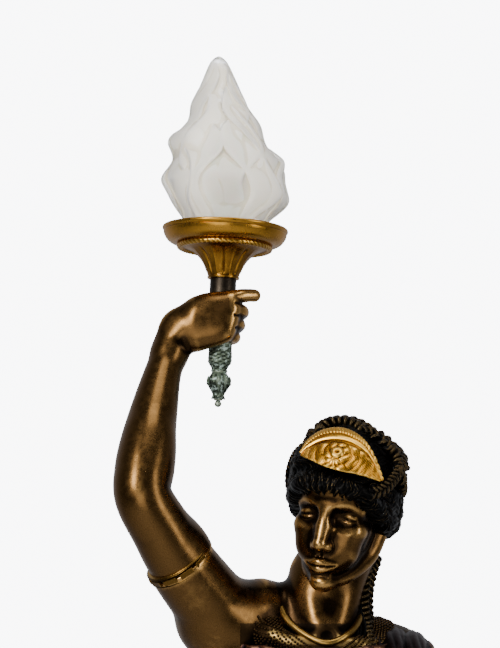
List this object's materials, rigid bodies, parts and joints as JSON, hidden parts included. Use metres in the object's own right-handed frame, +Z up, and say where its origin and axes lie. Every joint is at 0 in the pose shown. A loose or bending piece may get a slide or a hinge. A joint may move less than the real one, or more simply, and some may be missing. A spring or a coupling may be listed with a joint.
{
  "type": "torchiere floor lamp",
  "caption": "Draped standing figure in hollow bronze castings on a round plinth, raising a torch whose dish carries a removable glass flame shade over a screw-in bulb.",
  "frame": {"origin": "centre of the plinth's circle, on the floor under its felt pads", "axes": "+Z up; the figure faces -Y; +X to its left hand side, the torch on the -X side"},
  "size_m": [0.4776, 0.433, 2.0911],
  "materials": {
    "cast_bronze": "satin brown patina, rubbed at the high places",
    "robe_bronze": "dark purple-brown patina",
    "hair_bronze": "black patina",
    "gilt_bronze": "gilt, worn",
    "torch_bronze": "gilt brown bronze",
    "handle_bronze": "dark bronze",
    "verdigris": "green patina",
    "plinth_bronze": "satin dark brown patina",
    "steel": "zinc plated",
    "iron": "as cast",
    "brass": "plain",
    "porcelain": "glazed",
    "frosted_glass": "acid frosted",
    "bulb_glass": "opal",
    "black_plastic": "matt",
    "felt": "felt"
  },
  "bodies": {
    "figure": {"plinth": "plinth_bronze", "cover_plate": "steel", "cover_screws": "steel", "felt_pads": "felt", "ballast_ring": "iron", "cord_gland": "black_plastic", "terminal_block": "black_plastic", "tie_rod": "steel", "tie_rod_nuts": "steel", "ground_slab": "plinth_bronze", "left_foot": "cast_bronze", "right_foot": "cast_bronze", "skirt": "robe_bronze", "waist_plate": "steel", "overfold": "robe_bronze", "girdle": "gilt_bronze", "bodice": "robe_bronze", "bust": "cast_bronze", "right_armlet": "gilt_bronze", "left_armlet": "gilt_bronze", "raised_arm": "cast_bronze", "left_arm": "cast_bronze", "head": "cast_bronze", "hair": "hair_bronze", "hair_knot": "hair_bronze", "hanging_lock": "hair_bronze", "upper_braid": "hair_bronze", "lower_braid": "hair_bronze", "diadem": "gilt_bronze", "necklet": "gilt_bronze", "mantle": "robe_bronze", "finial_tip": "verdigris", "finial_bud": "verdigris", "lower_handle": "verdigris", "torch_tube": "handle_bronze", "tube_plug": "steel", "torch_cup": "torch_bronze", "rope_moulding": "torch_bronze", "torch_dish": "torch_bronze", "shade_holder": "brass", "lamp_pipe": "steel", "pipe_nut": "steel", "socket_cap": "brass", "socket_body": "porcelain", "socket_shell": "brass", "socket_contact": "brass", "internal_lead": "black_plastic"},
    "shade": {"glass_shade": "frosted_glass"},
    "bulb": {"bulb_cap": "brass", "bulb_glass": "bulb_glass"},
    "thumbscrew_a": {"thumbscrew_a": "brass"},
    "thumbscrew_b": {"thumbscrew_b": "brass"},
    "thumbscrew_c": {"thumbscrew_c": "brass"}
  },
  "joints": [
    {"name": "shade_lift", "type": "slide", "parent": "figure", "child": "shade", "axis": [0.0401, 0, 0.9992], "range_m": [0, 0.16]},
    {"name": "bulb_turn", "type": "hinge", "parent": "figure", "child": "bulb", "pos_m": [-0.11443, -0.021, 1.87781], "axis": [0.0401, 0, 0.9992], "range_deg": [0, 1080]},
    {"name": "thumbscrew_a_turn", "type": "hinge", "parent": "figure", "child": "thumbscrew_a", "pos_m": [-0.07576, 0.0015, 1.86945], "axis": [0.8653, 0.5, -0.0348], "range_deg": [0, 1080]},
    {"name": "thumbscrew_b_turn", "type": "hinge", "parent": "figure", "child": "thumbscrew_b", "pos_m": [-0.15364, 0.0015, 1.87258], "axis": [-0.8653, 0.5, 0.0348], "range_deg": [0, 1080]},
    {"name": "thumbscrew_c_turn", "type": "hinge", "parent": "figure", "child": "thumbscrew_c", "pos_m": [-0.1147, -0.066, 1.87101], "axis": [0, -1, 0], "range_deg": [0, 1080]}
  ]
}
